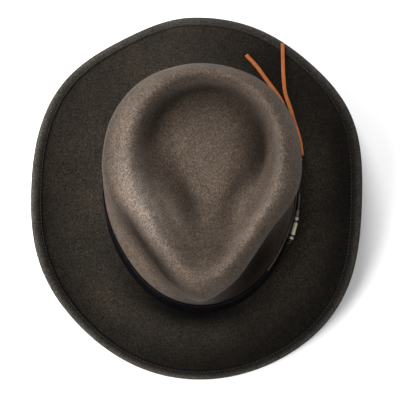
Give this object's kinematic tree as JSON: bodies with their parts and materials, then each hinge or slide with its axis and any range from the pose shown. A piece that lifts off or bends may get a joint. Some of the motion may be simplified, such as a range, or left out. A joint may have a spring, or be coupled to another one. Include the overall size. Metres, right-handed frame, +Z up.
{
  "type": "outback hat",
  "caption": "Felt outback hat with a taupe crown, teardrop crease, front pinches, a charcoal brim rolled up at the sides, a leather band, a knotted lace and beads.",
  "frame": {"origin": "on the floor below the middle of the brim's outline, with the hat standing brim down", "axes": "+Z up, -Y towards the front of the hat, +X towards the wearer's left"},
  "size_m": [0.3033, 0.3538, 0.1227],
  "materials": {
    "crown_felt": "fuzzy mottled taupe wool felt",
    "brim_felt": "fuzzy charcoal wool felt",
    "band_leather": "smooth near-black leather",
    "lace_leather": "tan suede lace",
    "bone": "polished cream bone or its imitation",
    "horn": "polished dark horn or its imitation",
    "pale_bead": "polished off-white bead",
    "grey_bead": "smooth grey-brown bead"
  },
  "bodies": {
    "root": {"bead_bone_tube": "bone", "bead_grey": "grey_bead", "bead_horn_tube": "horn", "bead_pale_back": "pale_bead", "bead_pale_front": "pale_bead", "bead_spacer_1": "horn", "bead_spacer_2": "horn", "bead_spacer_3": "horn", "brim": "brim_felt", "crown": "crown_felt", "hat_band": "band_leather", "lace_knot": "lace_leather", "lace_tail_left": "lace_leather", "lace_tail_right": "lace_leather", "lace_thong": "lace_leather"}
  },
  "joints": []
}
